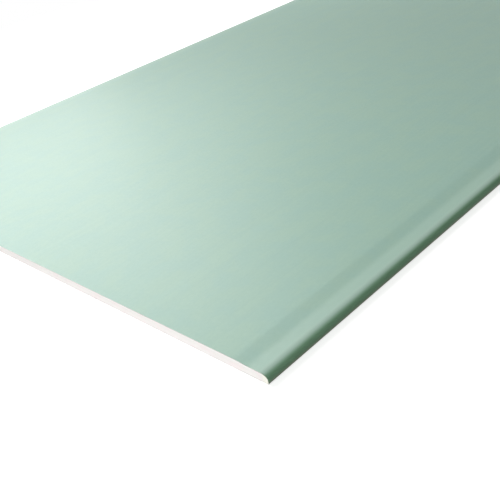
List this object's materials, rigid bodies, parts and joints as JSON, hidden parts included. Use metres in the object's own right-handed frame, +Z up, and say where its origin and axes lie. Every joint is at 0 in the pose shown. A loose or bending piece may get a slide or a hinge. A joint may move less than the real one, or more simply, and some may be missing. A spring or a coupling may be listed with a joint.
{
  "type": "drywall sheet",
  "caption": "Paper-faced moisture-resistant gypsum board lying flat, with half-round tapered long edges and square sawn ends.",
  "frame": {"origin": "centre of the sheet's underside, on the outer surface of the back paper", "axes": "+X across the width, +Y along the length, +Z up out of the face"},
  "size_m": [1.25, 2, 0.0125],
  "materials": {
    "gypsum": "chalky, finely porous, sawn",
    "green_face_paper": "smooth pale green liner with a soft sheen",
    "grey_back_paper": "matt recycled liner"
  },
  "bodies": {
    "root": {"gypsum_core": "gypsum", "face_paper": "green_face_paper", "back_paper": "grey_back_paper"}
  },
  "joints": []
}
